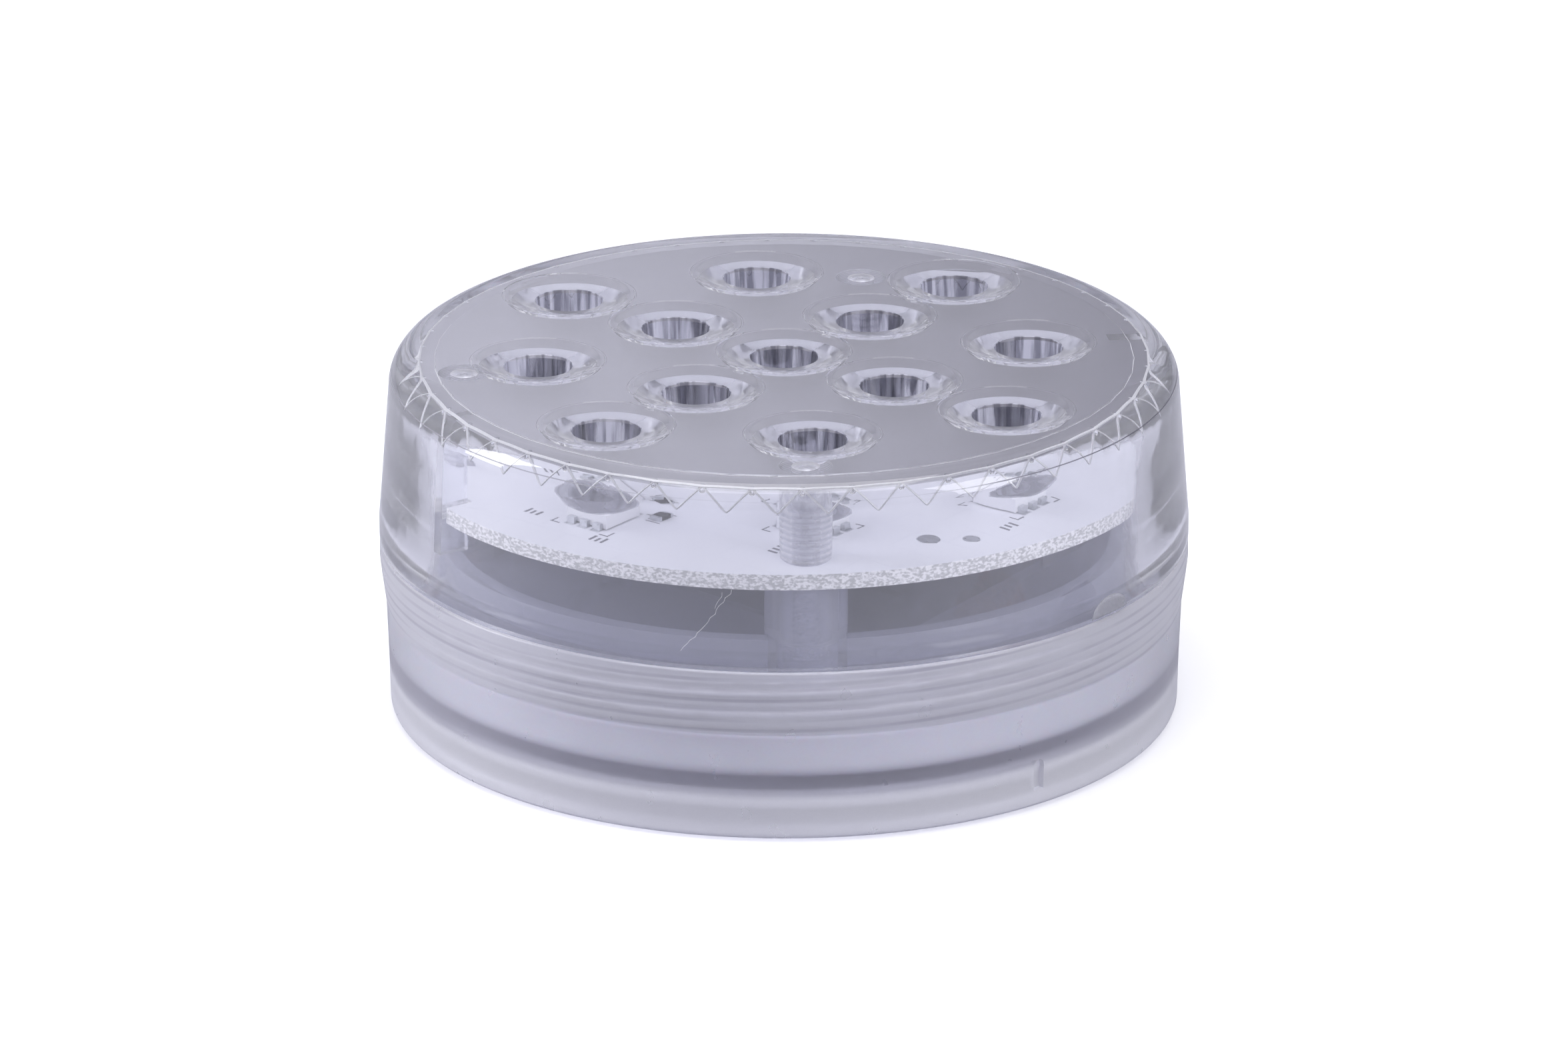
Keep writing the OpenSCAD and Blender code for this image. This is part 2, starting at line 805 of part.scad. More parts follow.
module cell_cans() {
    color([0.72, 0.73, 0.75])
    each_cell() translate([0, 0, -cell_l]) rotate_extrude() polygon([
        [0, 0], [can_r - 0.6, 0], [can_r, 0.6],
        [can_r, cell_body_l - 0.6], [can_r - 0.5, cell_body_l - 0.2], [0, cell_body_l - 0.2]
    ]);
}

module cell_sleeves() {
    color([0.55, 0.60, 0.68])
    each_cell() translate([0, 0, -cell_l + 0.7]) difference() {
        cylinder(r = cell_r, h = cell_body_l - 1.4);
        translate([0, 0, -1]) cylinder(r = cell_r - sleeve_t, h = cell_l);
    }
}

module cell_washers() {
    color([0.90, 0.90, 0.90])
    each_cell() translate([0, 0, -button_h - 0.19]) difference() {
        cylinder(r = can_r - 0.7, h = 0.2);
        translate([0, 0, -1]) cylinder(r = button_r + 0.1, h = 3);
    }
}

module cell_buttons() {
    color([0.80, 0.81, 0.83])
    each_cell() translate([0, 0, -button_h - 0.19]) rotate_extrude() polygon([
        [0, 0], [button_r, 0], [button_r, button_h - 0.1],
        [button_r - 0.3, button_h + 0.19], [0, button_h + 0.19]
    ]);
}

base_cover();
sealing_ring();
lens_cover();
circuit_board();
led_packages();
led_dies();
led_windows();
led_terminals();
chip_resistors();
chip_capacitor();
chip_terminals();
controller_chip();
controller_pins();
receiver_chip();
receiver_pins();
driver_transistors();
transistor_pins();
crystal_can();
antenna_coil();
battery_tray();
tray_screws();
positive_contact();
negative_contact();
series_links();
contact_springs();
positive_wire();
negative_wire();
wire_solder();
cell_cans();
cell_sleeves();
cell_buttons();
cell_washers();
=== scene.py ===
"""Underwater pond light: the looks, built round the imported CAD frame."""
import json
import math
import random

import bmesh
import bpy
from mathutils import Matrix, Vector


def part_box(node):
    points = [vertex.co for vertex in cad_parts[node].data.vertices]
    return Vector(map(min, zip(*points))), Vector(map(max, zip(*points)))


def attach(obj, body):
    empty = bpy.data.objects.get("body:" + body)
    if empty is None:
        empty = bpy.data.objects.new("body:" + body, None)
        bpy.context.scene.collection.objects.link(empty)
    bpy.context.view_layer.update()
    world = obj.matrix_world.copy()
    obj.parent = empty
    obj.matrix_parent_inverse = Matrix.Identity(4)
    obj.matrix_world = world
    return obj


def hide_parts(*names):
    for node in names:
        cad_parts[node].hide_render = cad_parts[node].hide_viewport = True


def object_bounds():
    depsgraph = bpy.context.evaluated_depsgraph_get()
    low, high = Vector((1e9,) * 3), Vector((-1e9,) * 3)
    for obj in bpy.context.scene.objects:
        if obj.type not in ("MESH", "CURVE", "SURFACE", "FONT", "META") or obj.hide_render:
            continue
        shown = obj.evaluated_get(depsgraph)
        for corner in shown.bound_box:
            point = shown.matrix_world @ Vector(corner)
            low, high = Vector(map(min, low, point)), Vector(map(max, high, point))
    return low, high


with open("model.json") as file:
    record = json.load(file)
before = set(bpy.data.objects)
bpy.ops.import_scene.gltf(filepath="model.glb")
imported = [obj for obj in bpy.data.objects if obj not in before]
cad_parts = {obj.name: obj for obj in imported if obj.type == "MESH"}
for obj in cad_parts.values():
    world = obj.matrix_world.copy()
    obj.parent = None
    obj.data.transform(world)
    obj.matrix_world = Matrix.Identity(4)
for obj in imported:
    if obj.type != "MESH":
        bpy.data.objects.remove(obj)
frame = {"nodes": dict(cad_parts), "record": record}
cad_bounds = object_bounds()

MM = 0.001
TURN = 2 * math.pi
TO_LIT_SIDE = (-0.78, -0.62, 0)


# ---- What the frame says -------------------------------------------------

def solids(node):
    """Boxes of the separate solids in a CAD node, in millimetres, from low to high place."""
    mesh = frame["nodes"][node].data
    keys = [tuple(round(c / MM, 3) for c in v.co) for v in mesh.vertices]
    owner = {k: k for k in keys}

    def root(k):
        while owner[k] != k:
            owner[k] = owner[owner[k]]
            k = owner[k]
        return k

    for face in mesh.polygons:
        first = root(keys[face.vertices[0]])
        for i in face.vertices[1:]:
            owner[root(keys[i])] = first
    groups = {}
    for k in owner:
        groups.setdefault(root(k), []).append(Vector(k))
    boxes = [(Vector(map(min, zip(*g))), Vector(map(max, zip(*g)))) for g in groups.values()]
    return sorted(boxes, key=lambda b: tuple(b[0]))


def centre(box):
    return (box[0] + box[1]) / 2


def box_mm(node):
    low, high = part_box(node)
    return low / MM, high / MM


LENS_LOW, LENS_HIGH = box_mm("lens_cover")
COVER_HIGH = box_mm("base_cover")[1]
BOARD_HIGH = box_mm("circuit_board")[1]
TOP_Z = LENS_HIGH.z
SKIRT_R = LENS_HIGH.x
LED_PLACES = [centre(b) for b in solids("led_packages")]
SCREWS = solids("tray_screws")

# Lens, in millimetres, as in the CAD design
TOP_T = 1.8
PLATE_Z = TOP_Z - TOP_T
SHOULDER_R = 3.0
SHOULDER_X = SKIRT_R - 1.15
SKIRT_Z = COVER_HIGH.z + 0.1
WINDOW_R = 35.3
BARREL_R = 36.95
BROW_R = 36.8
TEETH = 48
TOOTH_H = 1.85
CORNER_Z = PLATE_Z - 0.35
BROW_Z = PLATE_Z - 0.15
LEAD, STARTS = 4.4, 2
PITCH = LEAD / STARTS
MALE_START = 20 / 360
FEMALE_R, FEMALE_DEPTH, FEMALE_Z, FEMALE_TURNS = 39.3, -0.6, 12.2, 1.0
MALE_R, MALE_DEPTH, MALE_TURNS = 38.5, 0.6, 1.25
MALE_Z = FEMALE_Z - PITCH / 2 + LEAD * MALE_START
GROOVE_TOP, GROOVE_FOOT, GROOVE_R = 10.75, 6.4, 37.75
ROUND = 288

OPTIC_R = 6.4
WELL_R = 3.4
BOWL_FOOT_R = 3.3
BOWL_FOOT_Z = BOARD_HIGH.z + 1.75
WELL_FLOOR_Z = BOWL_FOOT_Z + 1.9
POST_R = 2.5
POST_BORE_R = 1.4


# ---- Mesh tools ----------------------------------------------------------

def arc(cx, cz, r, start, end, steps):
    """Points on an arc in a (radius, height) outline; angles in degrees."""
    angles = [math.radians(start + (end - start) * i / steps) for i in range(steps + 1)]
    return [(cx + r * math.cos(a), cz + r * math.sin(a)) for a in angles]


def add_ring(bm, r, z, count, at=(0, 0), shift=None):
    """One ring of vertices, or a single one on the axis."""
    if r < 1e-6:
        return [bm.verts.new((at[0], at[1], z))]
    ring = []
    for i in range(count):
        a = TURN * i / count
        dr, dz = shift(a, z) if shift else (0, 0)
        ring.append(bm.verts.new((at[0] + (r + dr) * math.cos(a), at[1] + (r + dr) * math.sin(a), z + dz)))
    return ring


def bridge(bm, lower, upper):
    """Faces between two rings, either of which may be a single vertex."""
    count = max(len(lower), len(upper))
    for i in range(count):
        j = (i + 1) % count
        if len(lower) == 1:
            bm.faces.new((lower[0], upper[j], upper[i]))
        elif len(upper) == 1:
            bm.faces.new((lower[i], lower[j], upper[0]))
        else:
            bm.faces.new((lower[i], lower[j], upper[j], upper[i]))


def revolve(bm, outline, count, at=(0, 0), shift=None):
    """Surface of revolution through an outline of (radius, height) points."""
    rings = [add_ring(bm, r, z, count, at, shift) for r, z in outline]
    for lower, upper in zip(rings, rings[1:]):
        bridge(bm, lower, upper)
    return rings


def fill_between(bm, loops):
    """Flat face region bounded by closed loops of vertices, the first of them outermost."""
    edges = []
    for loop in loops:
        for a, b in zip(loop, loop[1:] + loop[:1]):
            edge = bm.edges.get((a, b)) or bm.edges.new((a, b))
            edges.append(edge)
    bmesh.ops.triangle_fill(bm, use_beauty=True, use_dissolve=False, edges=edges)


def finish_mesh(bm, name, sharp=30):
    """Object from a bmesh drawn in millimetres, smooth except at edges sharper than given."""
    bmesh.ops.remove_doubles(bm, verts=bm.verts, dist=1e-4)
    bmesh.ops.recalc_face_normals(bm, faces=bm.faces)
    bmesh.ops.scale(bm, vec=(MM, MM, MM), verts=bm.verts)
    mesh = bpy.data.meshes.new(name)
    bm.to_mesh(mesh)
    bm.free()
    piece = bpy.data.objects.new(name, mesh)
    bpy.context.scene.collection.objects.link(piece)
    shade(piece, sharp)
    return piece


def shade(piece, sharp):
    piece.data.shade_smooth()
    piece.data.set_sharp_from_angle(angle=math.radians(sharp))


def combine(piece, tool, operation):
    """Joins or cuts with another closed mesh, which is used up."""
    step = piece.modifiers.new("combine", "BOOLEAN")
    step.operation = operation
    step.solver = "MANIFOLD"
    step.object = tool
    graph = bpy.context.evaluated_depsgraph_get()
    result = bpy.data.meshes.new_from_object(piece.evaluated_get(graph))
    piece.modifiers.clear()
    old = piece.data
    piece.data = result
    bpy.data.meshes.remove(old)
    bpy.data.objects.remove(tool)


def add_box(bm, low, high, turn=0):
    """Axis-aligned box, then turned about the vertical axis through the origin."""
    made = bmesh.ops.create_cube(bm, size=1)["verts"]
    low, high = Vector(low), Vector(high)
    for v in made:
        v.co = Vector((v.co[i] * (high[i] - low[i]) + (high[i] + low[i]) / 2 for i in range(3)))
    bmesh.ops.rotate(bm, verts=made, cent=(0, 0, 0), matrix=Matrix.Rotation(turn, 3, "Z"))
    return made


def helix(radius_gain, start_z, turns, start_turn=0):
    """Radial rise of a thread's helical ridges at an angle and height."""
    def shift(angle, z):
        best = 0
        for start in range(STARTS):
            part = (angle / TURN - start_turn - start / STARTS) % 1
            along = (z - start_z) / LEAD - part
            near = max(round(along), 0)
            fade = min(1, max(0, min(near + part, turns - near - part) * 9))
            away = abs(along - near) * LEAD
            height = min(1, max(0, (0.5 - away) / 0.25))
            best = max(best, fade * height * height * (3 - 2 * height))
        return radius_gain * best, 0
    return shift


# ---- Lens ----------------------------------------------------------------

def skirt_outline():
    """Outside of the lens from the edge of its flat top to the top of the thread."""
    step_in = SKIRT_R - 0.25
    return (
        arc(SHOULDER_X - SHOULDER_R, TOP_Z - SHOULDER_R, SHOULDER_R, 90, 0, 12)
        + [(SHOULDER_X + 0.23 * i, TOP_Z - SHOULDER_R - 2.86 * i) for i in range(1, 5)]
        + [(SKIRT_R, SKIRT_Z + 2.0), (SKIRT_R, SKIRT_Z + 1.0)]
        + arc(step_in, SKIRT_Z + 0.25, 0.25, 0, -90, 4)
        + [(MALE_R + 0.2, SKIRT_Z), (MALE_R, SKIRT_Z - 0.2)]
    )


def barrel_outline():
    """From the foot of the thread round the seal groove and lip to the inner wall."""
    end_z = LENS_LOW.z
    return [
        (MALE_R, GROOVE_TOP + 0.03), (MALE_R - 0.05, GROOVE_TOP), (GROOVE_R, GROOVE_TOP),
        (GROOVE_R, GROOVE_FOOT), (38.15, GROOVE_FOOT), (38.2, GROOVE_FOOT - 0.05),
        (37.9, end_z + 0.05), (37.8, end_z), (BARREL_R + 0.1, end_z), (BARREL_R, end_z + 0.1),
    ]


def lens_skin(bm):
    """Outer wall, threaded barrel and inner wall; returns its ring at the top and the one inside."""
    skirt = revolve(bm, skirt_outline(), ROUND)
    thread_top, thread_foot, steps = SKIRT_Z - 0.2, GROOVE_TOP + 0.05, 80
    ridge = helix(MALE_DEPTH, MALE_Z, MALE_TURNS, MALE_START)
    thread = [(MALE_R, thread_top + (thread_foot - thread_top) * i / steps) for i in range(1, steps + 1)]
    rings = revolve(bm, thread, ROUND, shift=ridge)
    bridge(bm, skirt[-1], rings[0])
    barrel = revolve(bm, barrel_outline(), ROUND)
    bridge(bm, rings[-1], barrel[0])
    wall = [(BARREL_R, z) for z in (11.6, 18.0, 24.0, 30.0, PLATE_Z - TOOTH_H - 0.6)]
    inner = revolve(bm, wall, ROUND)
    bridge(bm, barrel[-1], inner[0])
    return skirt[0], inner[-1]


def around(r, z, turn):
    """Point at a radius and height, some part of a turn round from +X."""
    return Vector((r * math.cos(turn * TURN), r * math.sin(turn * TURN), z))


def prism_points(t):
    """Tip on the wall, brow half a step on, and window corner of one prism tooth."""
    return (around(BARREL_R, PLATE_Z - TOOTH_H, t / TEETH), around(BROW_R, BROW_Z, (t + 0.5) / TEETH),
            around(WINDOW_R, CORNER_Z, t / TEETH))


def prism_ring(bm, wall_ring):
    """Facets between the inner wall and the flat window; returns the window's edge loop."""
    span = ROUND // TEETH
    half = span // 2
    zigzag = []
    for t in range(TEETH):
        tip, brow, _ = prism_points(t)
        after = prism_points(t + 1)[0]
        zigzag += [bm.verts.new(tip.lerp(brow, k / half)) for k in range(half)]
        zigzag += [bm.verts.new(brow.lerp(after, k / half)) for k in range(half)]
    bridge(bm, wall_ring, zigzag)
    corners = [bm.verts.new(prism_points(t)[2]) for t in range(TEETH)]
    for t in range(TEETH):
        middle = t * span
        edge = [zigzag[(middle + k) % ROUND] for k in range(-half, half + 1)]
        bm.faces.new(edge)
        bm.faces.new((edge[0], edge[-1], corners[t]))
        bm.faces.new((corners[t], corners[(t + 1) % TEETH], edge[-1]))
    window = [bm.verts.new(around(WINDOW_R - 0.08, PLATE_Z, t / TEETH)) for t in range(TEETH)]
    bridge(bm, corners, window)
    return window


def add_line(bm, start, end, half_width):
    """Thin three-sided strand between two points."""
    along = (end - start).normalized()
    side = along.orthogonal().normalized()
    up = along.cross(side)
    ends = []
    for spot in (start, end):
        ends.append([bm.verts.new(spot + half_width * (math.cos(a) * side + math.sin(a) * up))
                     for a in (0, TURN / 3, 2 * TURN / 3)])
    bridge(bm, *ends)
    for cap in ends:
        bm.faces.new(cap)


def prism_edge_highlights():
    """Fine white strands along the edges of the prism facets: painted highlight for their bright edges."""
    bm = bmesh.new()
    for t in range(TEETH):
        tip, brow, corner = prism_points(t)
        last_brow = prism_points(t - 1)[1]
        next_corner = prism_points(t + 1)[2]
        for start, end, half_width in (
            (last_brow, brow, 0.12), (tip, brow, 0.1), (tip, last_brow, 0.1), (corner, next_corner, 0.05),
        ):
            add_line(bm, start, end, half_width)
    return finish_mesh(bm, "prism_edge_highlights", sharp=70)


def optic_top_outline():
    """From the rim of a collimator down its dish and well to the middle of its convex floor."""
    dish = [(OPTIC_R, TOP_Z)] + [
        (OPTIC_R + (WELL_R + 0.12 - OPTIC_R) * t, TOP_Z - 0.62 * math.sin(t * math.pi / 2))
        for t in (0.06, 0.15, 0.3, 0.45, 0.6, 0.75, 0.9, 1.0)
    ]
    lip = [(WELL_R + 0.04, TOP_Z - 0.68), (WELL_R, TOP_Z - 0.85)]
    foot = WELL_R - 0.3
    wall = [(WELL_R - 0.15, (TOP_Z + WELL_FLOOR_Z) / 2), (foot, WELL_FLOOR_Z + 0.05)]
    floor = [
        (foot * c, WELL_FLOOR_Z + 1 - c * c)
        for c in (0.97, 0.88, 0.75, 0.6, 0.45, 0.3, 0.15, 0)
    ]
    return dish + lip + wall + floor


def optic_under_outline():
    """From the bowl's edge on the plate down its outside to the dome over the LED."""
    rise = PLATE_Z - BOWL_FOOT_Z
    bowl = []
    for i in range(15):
        t = 1 - i / 14
        bowl.append((BOWL_FOOT_R + (OPTIC_R - BOWL_FOOT_R) * t ** 0.6, BOWL_FOOT_Z + rise * t))
    dome_r, dome_h = 2.5, 0.9
    quarter = [math.pi / 2 * i / 8 for i in range(8)]
    dome = [(dome_r * math.cos(a), BOWL_FOOT_Z + dome_h * math.sin(a)) for a in quarter]
    return bowl + dome + [(0, BOWL_FOOT_Z + dome_h)]


def lens_shell():
    bm = bmesh.new()
    top_ring, wall_ring = lens_skin(bm)
    window = prism_ring(bm, wall_ring)
    rims, bowls = [], []
    groove_z = TOP_Z - 0.07
    groove = [(6.95, TOP_Z), (6.88, groove_z), (6.78, groove_z), (6.7, TOP_Z), (OPTIC_R, TOP_Z)]
    for spot in LED_PLACES:
        at = (spot.x, spot.y)
        rings = revolve(bm, groove + optic_top_outline()[1:], 96, at)
        rims.append(rings[0])
        bowls.append(revolve(bm, optic_under_outline(), 96, at)[0])
    fill_between(bm, [top_ring] + rims)
    fill_between(bm, [window] + bowls)
    lens = finish_mesh(bm, "lens_shell")
    combine(lens, lens_solids(), "UNION")
    combine(lens, post_bores(), "DIFFERENCE")
    shade(lens, 24)
    return lens


# Guide ribs on the inner wall: azimuth in degrees, width, inner radius and foot height
GUIDES = [(48, 1.9, 33.3, 20.0), (-113, 1.3, 35.1, 22.0)]


def lens_solids():
    """Screw posts, guide ribs and the beads between prism teeth, to join to the lens."""
    bm = bmesh.new()
    for screw in SCREWS:
        spot = centre(screw)
        root, foot = PLATE_Z + 0.5, BOARD_HIGH.z + 0.04
        outline = [
            (0, root), (POST_R + 0.15, root), (POST_R + 0.12, PLATE_Z - 0.8),
            (POST_R, BOARD_HIGH.z + 0.2), (POST_R - 0.15, foot), (0, foot),
        ]
        revolve(bm, outline, 64, (spot.x, spot.y))
    for azimuth, width, inner, low in GUIDES:
        outer_top = (BARREL_R + 0.6, width / 2, PLATE_Z + 0.4)
        add_box(bm, (inner, -width / 2, low), outer_top, math.radians(azimuth))
    for t in range(TEETH):
        bead = Matrix.Translation(around(BROW_R, BROW_Z - 0.1, (t + 0.5) / TEETH))
        bmesh.ops.create_uvsphere(bm, u_segments=14, v_segments=9, radius=0.42, matrix=bead)
    return finish_mesh(bm, "lens_solids")


def post_bores():
    bm = bmesh.new()
    for screw in SCREWS:
        spot = centre(screw)
        mouth, top = BOARD_HIGH.z - 1, TOP_Z - 1.6
        outline = [(0, mouth), (POST_BORE_R, mouth), (POST_BORE_R, top - 0.5), (0, top)]
        revolve(bm, outline, 48, (spot.x, spot.y))
    return finish_mesh(bm, "post_bores")


# ---- Base cover ----------------------------------------------------------

def cover_shell():
    bm = bmesh.new()
    foot_r, waist_r, rim = SKIRT_R - 0.9, SKIRT_R - 0.6, COVER_HIGH.z
    recess_r, recess = 35.0, 0.5
    outside = (
        [(0, recess), (recess_r - 0.2, recess), (recess_r, recess - 0.1), (recess_r + 0.1, 0)]
        + arc(foot_r - 0.8, 0.8, 0.8, -90, 0, 6)
        + [(waist_r - 0.2, 5.5), (waist_r, 11.2), (SKIRT_R - 0.15, rim - 3.2), (SKIRT_R, rim - 1.8)]
        + arc(SKIRT_R - 0.3, rim - 0.25, 0.25, 0, 90, 4)
        + [(FEMALE_R + 0.3, rim), (FEMALE_R, rim - 0.3)]
    )
    skin = revolve(bm, outside, ROUND)
    top, foot, steps = rim - 0.3, 11.2, 76
    ridge = helix(FEMALE_DEPTH, FEMALE_Z, FEMALE_TURNS)
    thread = [(FEMALE_R, top + (foot - top) * i / steps) for i in range(1, steps + 1)]
    rings = revolve(bm, thread, ROUND, shift=ridge)
    bridge(bm, skin[-1], rings[0])
    inside = revolve(bm, [
        (38.55, 10.9), (38.55, 4.65), (38.45, 4.55), (36.95, 4.55), (36.9, 4.5),
        (36.9, 4.2), (36.3, 3.1), (34.9, 2.2), (0, 2.2),
    ], ROUND)
    bridge(bm, rings[-1], inside[0])
    cover = finish_mesh(bm, "cover_shell")
    combine(cover, alignment_mark(foot_r), "DIFFERENCE")
    shade(cover, 24)
    return cover


def alignment_mark(foot_r):
    """Tool that cuts the short upright groove with a rounded head."""
    bm = bmesh.new()
    half, low, high, azimuth = 0.65, 1.9, 5.1, -12.7
    path = [(-half, low), (half, low)] + arc(0, high - half, half, 0, 180, 10)
    near = [bm.verts.new((foot_r - 0.6, y, z)) for y, z in path]
    far = [bm.verts.new((foot_r + 2, y, z)) for y, z in path]
    bridge(bm, near, far)
    bm.faces.new(near)
    bm.faces.new(far)
    turn = Matrix.Rotation(math.radians(azimuth), 3, "Z")
    bmesh.ops.rotate(bm, verts=bm.verts, cent=(0, 0, 0), matrix=turn)
    return finish_mesh(bm, "alignment_mark")


# ---- Screws --------------------------------------------------------------

def thread_screws():
    """Pan-head self-tapping screws with a true helical thread."""
    bm = bmesh.new()
    head_h, core_r, pitch, steps, sides = 1.8, 0.95, 0.65, 260, 40
    for screw in SCREWS:
        spot = centre(screw)
        at = (spot.x, spot.y)
        seat = screw[0].z + head_h
        thread_z, tip = seat + 0.6, screw[1].z
        head = [
            (0, seat - head_h), (1.3, seat - 1.78), (2.1, seat - 1.45), (2.45, seat - 0.7),
            (2.45, seat - 0.1), (2.35, seat), (1.0, seat), (core_r, thread_z),
        ]
        rings = revolve(bm, head, sides, at)

        def ridge(angle, z, seat=seat):
            along = (z - seat) / pitch - angle / TURN
            away = abs(along - round(along))
            taper = min(1, max(0, (tip - 0.3 - z) / 1.6))
            return 0.38 * max(0, 1 - away / 0.3) - 0.25 * (1 - taper), 0

        thread = [(core_r, thread_z + (tip - 0.25 - thread_z) * i / steps) for i in range(1, steps + 1)]
        turns = revolve(bm, thread, sides, at, ridge)
        bridge(bm, rings[-1], turns[0])
        bridge(bm, turns[-1], add_ring(bm, 0, tip, sides, at))
    return finish_mesh(bm, "thread_screws", sharp=35)


# ---- Small marks on the board --------------------------------------------

def board_pads():
    """Tinned lands round the LED terminals and two round test pads."""
    bm = bmesh.new()
    top = BOARD_HIGH.z
    solder_z = top + 0.025
    for low, high in solids("led_terminals"):
        margin = Vector((0.35, 0.12) if high.x - low.x < high.y - low.y else (0.12, 0.35))
        add_box(bm, (*(low.xy - margin), top), (*(high.xy + margin), solder_z))
    for x, y, r in ((28.2, -13.1, 1.15), (31.2, -10.3, 0.85)):
        dome = [(0, top), (r, top), (r - 0.05, top + 0.04), (r - 0.3, solder_z), (0, solder_z)]
        revolve(bm, dome, 40, (x, y))
    return finish_mesh(bm, "board_pads")


def board_print():
    """Plain printed marks: a bracket round each LED, part outlines and short bars."""
    bm = bmesh.new()
    top, line, arm, reach = BOARD_HIGH.z, 0.16, 1.1, 3.6

    def bar(x0, y0, x1, y1):
        add_box(bm, (min(x0, x1), min(y0, y1), top), (max(x0, x1), max(y0, y1), top + 0.012))

    for spot in LED_PLACES:
        for sx in (-1, 1):
            for sy in (-1, 1):
                x, y = spot.x + sx * reach, spot.y + sy * reach
                bar(x, y, x - sx * arm, y - sy * line)
                bar(x, y, x - sx * line, y - sy * arm)
    for low, high in solids("chip_resistors") + solids("chip_capacitor"):
        for y in (low.y - 0.75, high.y + 0.75 - line):
            bar(low.x - 0.25, y, high.x + 0.25, y + line)
    bar_groups = ((31.5, -6.3, 0), (18.0, -25.2, 0), (-7.2, -31.6, 1), (2.4, -33.2, 1), (-31.4, 7.5, 0))
    for x, y, turned in bar_groups:
        for k in range(3):
            step, length = 0.7 * k, arm - 0.25 * (k % 2)
            if turned:
                bar(x + step, y, x + step + 0.3, y + length)
            else:
                bar(x, y + step, x + length, y + step + 0.3)
    return finish_mesh(bm, "board_print")


def hair_scratch():
    """One long fine scratch that wanders down the outside of the skirt, with a short fork."""
    bm = bmesh.new()
    rng = random.Random(8)

    def strand(start, end, steps, half_width):
        spots = []
        for i in range(steps + 1):
            azimuth = start[0] + (end[0] - start[0]) * i / steps + rng.uniform(-0.22, 0.22)
            z = start[1] + (end[1] - start[1]) * i / steps
            outside = SHOULDER_X + 0.08 * (TOP_Z - SHOULDER_R - z)
            spots.append(around(outside, z, azimuth / 360))
        for a, b in zip(spots, spots[1:]):
            add_line(bm, a, b, half_width)

    strand((-58.6, 26.4), (-62.4, 22.6), 9, 0.02)
    strand((-62.4, 22.6), (-65.6, 19.9), 7, 0.028)
    strand((-60.0, 26.1), (-60.9, 24.4), 4, 0.016)
    return finish_mesh(bm, "hair_scratch", sharp=70)


def gate_mark():
    """Rough half-round scar where the moulding was cut from its runner."""
    bm = bmesh.new()
    azimuth, wide, tall, foot = math.radians(0.5), 2.9, 1.9, SKIRT_Z + 0.3
    rng = random.Random(4)
    columns, rows = 22, 10
    grid = []
    for i in range(columns + 1):
        u = -1 + 2 * i / columns
        column = []
        for j in range(rows + 1):
            v = j / rows
            height = math.sqrt(max(0, 1 - u * u)) * tall * v
            edge = min(1, 4 * (1 - abs(u))) * min(1, 4 * (1 - v)) * min(1, 6 * v + 0.2)
            r = SKIRT_R - 0.14 + (0.2 + rng.uniform(-0.05, 0.05)) * max(0, edge)
            a = azimuth + u * wide / SKIRT_R
            column.append(bm.verts.new((r * math.cos(a), r * math.sin(a), foot + height)))
        grid.append(column)
    for a, b in zip(grid, grid[1:]):
        for j in range(rows):
            bm.faces.new((a[j], b[j], b[j + 1], a[j + 1]))
    piece = finish_mesh(bm, "gate_mark", sharp=60)
    solid = piece.modifiers.new("thickness", "SOLIDIFY")
    solid.thickness = 0.12 * MM
    return piece


# ---- Materials -----------------------------------------------------------

class Nodes:
    """Short ways to add and join the shader nodes of one tree."""

    def __init__(self, tree):
        self.tree = tree

    def node(self, kind, **settings):
        made = self.tree.nodes.new("ShaderNode" + kind)
        for key, value in settings.items():
            setattr(made, key, value)
        return made

    def join(self, source, target):
        self.tree.links.new(source, target)

    def feed(self, value, target):
        """Joins a socket to an input, or gives the input a plain value."""
        if isinstance(value, bpy.types.NodeSocket):
            self.join(value, target)
        else:
            target.default_value = value

    def math(self, operation, *values):
        node = self.node("Math", operation=operation)
        for value, target in zip(values, node.inputs):
            self.feed(value, target)
        return node.outputs[0]

    def dot(self, first, second):
        node = self.node("VectorMath", operation="DOT_PRODUCT")
        self.feed(first, node.inputs[0])
        self.feed(second, node.inputs[1])
        return node.outputs["Value"]

    def scaled(self, vector, factor):
        node = self.node("VectorMath", operation="SCALE")
        self.feed(vector, node.inputs[0])
        self.feed(factor, node.inputs["Scale"])
        return node.outputs[0]

    def split(self, vector):
        node = self.node("SeparateXYZ")
        self.join(vector, node.inputs[0])
        return node.outputs

    def spread(self, source, low, high, start=0.3, end=0.7):
        """Maps start to end onto low to high, and holds beyond them."""
        node = self.node("MapRange")
        for key, value in zip(("From Min", "From Max", "To Min", "To Max"), (start, end, low, high)):
            node.inputs[key].default_value = value
        self.join(source, node.inputs["Value"])
        return node.outputs["Result"]

    def blend(self, factor, first, second):
        node = self.node("Mix", data_type="RGBA")
        for index, value in ((6, first), (7, second)):
            self.feed((*value, 1) if isinstance(value, tuple) else value, node.inputs[index])
        self.join(factor, node.inputs[0])
        return node.outputs[2]


